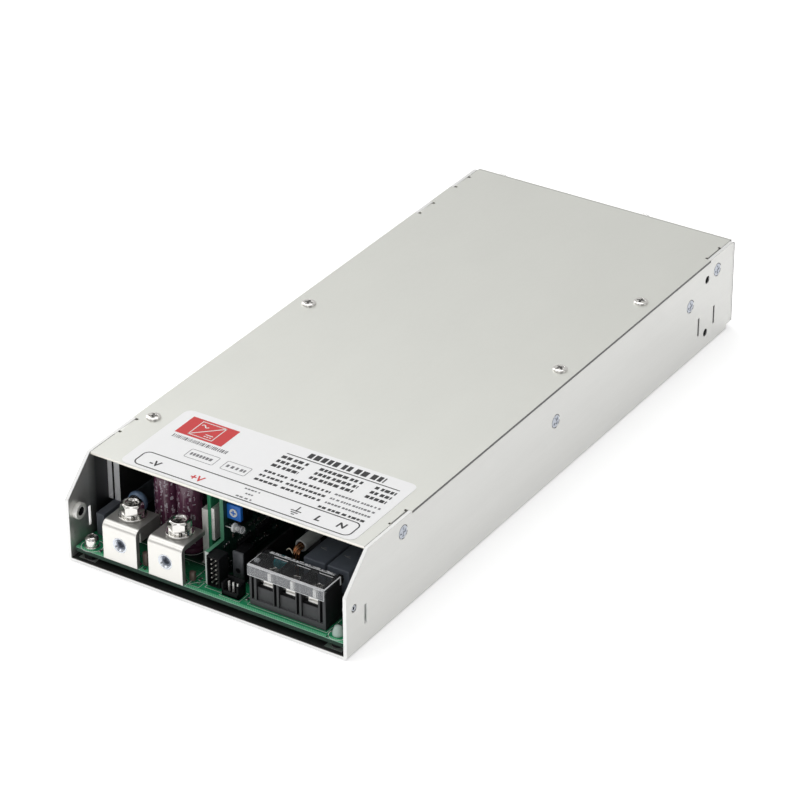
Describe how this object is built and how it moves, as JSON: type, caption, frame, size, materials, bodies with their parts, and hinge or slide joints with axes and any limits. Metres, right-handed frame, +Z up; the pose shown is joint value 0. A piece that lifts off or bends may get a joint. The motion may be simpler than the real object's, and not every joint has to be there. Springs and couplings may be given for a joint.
{
  "type": "enclosed power supply",
  "caption": "Low-profile enclosed AC-DC power supply: folded metal case, bolted output terminals and covered input block at the open front, fans with guards at the rear.",
  "frame": {"origin": "middle of the underside of the case", "axes": "+Z up, +Y towards the fans, -Y towards the terminals, +X to the right as seen from the terminals"},
  "size_m": [0.127, 0.2984, 0.0426],
  "materials": {
    "case_aluminium": "satin",
    "cover_steel": "satin",
    "label_film": "matt",
    "insulating_film": "satin",
    "zinc_steel": "bright zinc",
    "nickel_steel": "polished",
    "tinned_plate": "bright tin",
    "green_board": "solder mask",
    "dark_board": "solder mask",
    "white_nylon": "satin",
    "black_plastic": "satin",
    "slate_plastic": "satin",
    "grey_plastic": "satin",
    "heatsink_aluminium": "mill",
    "purple_sleeve": "gloss",
    "black_sleeve": "gloss",
    "blue_coating": "gloss",
    "teal_coating": "gloss",
    "blue_plastic": "satin",
    "clear_plastic": "clear",
    "copper_strand": "bright",
    "ferrite": "matt",
    "film_box": "satin",
    "pin_tin": "bright"
  },
  "bodies": {
    "supply": {"chassis": "case_aluminium", "top_cover": "cover_steel", "rating_label": "label_film", "insulating_sheet": "insulating_film", "cover_screws": "zinc_steel", "side_screws": "zinc_steel", "mounting_nuts": "zinc_steel", "fan_screws": "zinc_steel", "main_board": "green_board", "board_standoffs": "zinc_steel", "board_screws": "zinc_steel", "board_support": "white_nylon", "negative_terminal": "tinned_plate", "positive_terminal": "tinned_plate", "terminal_nuts": "zinc_steel", "output_bolts": "nickel_steel", "flat_washers": "nickel_steel", "spring_washers": "nickel_steel", "output_nuts": "zinc_steel", "heatsink_left": "heatsink_aluminium", "heatsink_right": "heatsink_aluminium", "heatsink_rails": "slate_plastic", "power_transistors": "black_plastic", "bridge_rectifier": "black_plastic", "output_capacitors": "purple_sleeve", "disc_capacitor": "blue_coating", "rectifier_board": "green_board", "rectifier_bars": "tinned_plate", "output_inductor": "ferrite", "main_transformer": "ferrite", "control_board": "dark_board", "control_chips": "black_plastic", "signal_header": "black_plastic", "signal_pins": "pin_tin", "trimmer_body": "blue_plastic", "status_led": "clear_plastic", "sense_connector": "grey_plastic", "aux_header": "black_plastic", "aux_pins": "pin_tin", "barrier": "insulating_film", "input_block": "black_plastic", "input_contacts": "tinned_plate", "input_clamps": "nickel_steel", "input_screws": "nickel_steel", "relays": "black_plastic", "varistor": "teal_coating", "choke_sleeve": "white_nylon", "choke_lead": "copper_strand", "line_filter": "ferrite", "filter_capacitor": "film_box", "boost_choke": "ferrite", "bulk_capacitors": "black_sleeve", "fan_frame_left": "black_plastic", "fan_frame_right": "black_plastic", "fan_guard_left": "pin_tin", "fan_guard_right": "pin_tin"},
    "left_fan_rotor": {"fan_rotor_left": "black_plastic"},
    "right_fan_rotor": {"fan_rotor_right": "black_plastic"},
    "terminal_cover": {"input_cover": "clear_plastic"},
    "voltage_trimmer": {"trimmer_rotor": "white_nylon"}
  },
  "joints": [
    {"name": "left_fan_spin", "type": "hinge", "parent": "supply", "child": "left_fan_rotor", "pos_m": [-0.0355, 0.1444, 0.02075], "axis": [0, 1, 0], "continuous": true},
    {"name": "right_fan_spin", "type": "hinge", "parent": "supply", "child": "right_fan_rotor", "pos_m": [0.0355, 0.1444, 0.02075], "axis": [0, 1, 0], "continuous": true},
    {"name": "cover_hinge", "type": "hinge", "parent": "supply", "child": "terminal_cover", "pos_m": [0.0341, -0.1318, 0.023], "axis": [-1, 0, 0], "range_deg": [0, 95]},
    {"name": "trimmer_turn", "type": "hinge", "parent": "supply", "child": "voltage_trimmer", "pos_m": [0.00035, -0.1276, 0.032], "axis": [0, -1, 0], "range_deg": [-135, 135]}
  ]
}
